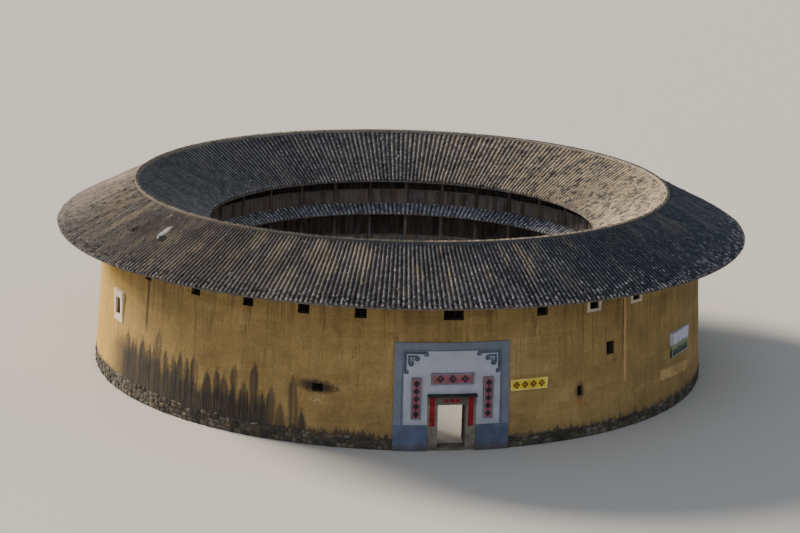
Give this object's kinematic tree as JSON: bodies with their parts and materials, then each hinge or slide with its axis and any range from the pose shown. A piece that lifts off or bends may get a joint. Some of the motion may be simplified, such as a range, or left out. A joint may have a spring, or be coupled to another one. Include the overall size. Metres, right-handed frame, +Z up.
{
  "type": "tulou roundhouse",
  "caption": "Round rammed-earth dwelling with a ring-shaped tiled roof, timber galleries round an open courtyard, and a painted gate with two hinged leaves.",
  "frame": {"origin": "on the ground at the centre of the courtyard", "axes": "+Z up, the gate faces -Y, +X to the right of someone who faces the gate from outside"},
  "size_m": [38, 38, 10.13],
  "materials": {
    "rubble_stone": "dark river rubble in earth mortar",
    "rammed_earth": "weathered ochre rammed earth",
    "roof_tile": "weathered grey-brown clay tile",
    "ridge_tile": "mortared tiles on edge",
    "dark_timber": "smoke-darkened fir",
    "gate_stone": "worn dressed granite",
    "blue_limewash": "blue-grey limewash on plaster",
    "pale_limewash": "pale blue-white limewash on plaster",
    "red_paint": "faded red paint",
    "yellow_paint": "yellow enamel",
    "board_print": "faded printed board",
    "white_lime": "white lime plaster"
  },
  "bodies": {
    "house": {"plinth_left_front": "rubble_stone", "plinth_left_back": "rubble_stone", "plinth_right_front": "rubble_stone", "plinth_right_back": "rubble_stone", "wall_left_front": "rammed_earth", "wall_left_side": "rammed_earth", "wall_left_rear": "rammed_earth", "wall_left_back": "rammed_earth", "wall_right_front": "rammed_earth", "wall_right_side": "rammed_earth", "wall_right_rear": "rammed_earth", "wall_right_back": "rammed_earth", "wall_gate_left": "rammed_earth", "wall_gate_right": "rammed_earth", "wall_over_gate": "rammed_earth", "roof_outer_left_front": "roof_tile", "roof_outer_left_back": "roof_tile", "roof_outer_right_front": "roof_tile", "roof_outer_right_back": "roof_tile", "roof_inner_left_front": "roof_tile", "roof_inner_left_back": "roof_tile", "roof_inner_right_front": "roof_tile", "roof_inner_right_back": "roof_tile", "roof_ridge": "ridge_tile", "roof_frame": "dark_timber", "ridge_frame": "dark_timber", "floor_second": "dark_timber", "floor_third": "dark_timber", "gallery_ground": "dark_timber", "gallery_second": "dark_timber", "gallery_third": "dark_timber", "skirt_roof": "roof_tile", "room_front_ground": "dark_timber", "room_front_second": "dark_timber", "room_front_third": "dark_timber", "gate_jamb_left": "gate_stone", "gate_jamb_right": "gate_stone", "gate_head": "dark_timber", "gate_shelf": "dark_timber", "gate_threshold": "gate_stone", "gate_pivot_beam": "dark_timber", "gate_border": "blue_limewash", "gate_field": "pale_limewash", "gate_plaque": "red_paint", "gate_panel_left": "red_paint", "gate_panel_right": "red_paint", "sign_board": "yellow_paint", "picture_board": "board_print", "window_surround_left_upper": "white_lime", "window_surround_left_lower": "white_lime", "window_surround_right_first": "white_lime", "window_surround_right_second": "white_lime"},
    "left_leaf": {"gate_leaf_left": "dark_timber"},
    "right_leaf": {"gate_leaf_right": "dark_timber"}
  },
  "joints": [
    {"name": "left_leaf_pivot", "type": "hinge", "parent": "house", "child": "left_leaf", "pos_m": [-0.8, -16.22, 0.12], "axis": [0, 0, 1], "range_deg": [-90, 0]},
    {"name": "right_leaf_pivot", "type": "hinge", "parent": "house", "child": "right_leaf", "pos_m": [0.8, -16.22, 0.12], "axis": [0, 0, 1], "range_deg": [0, 90]}
  ]
}
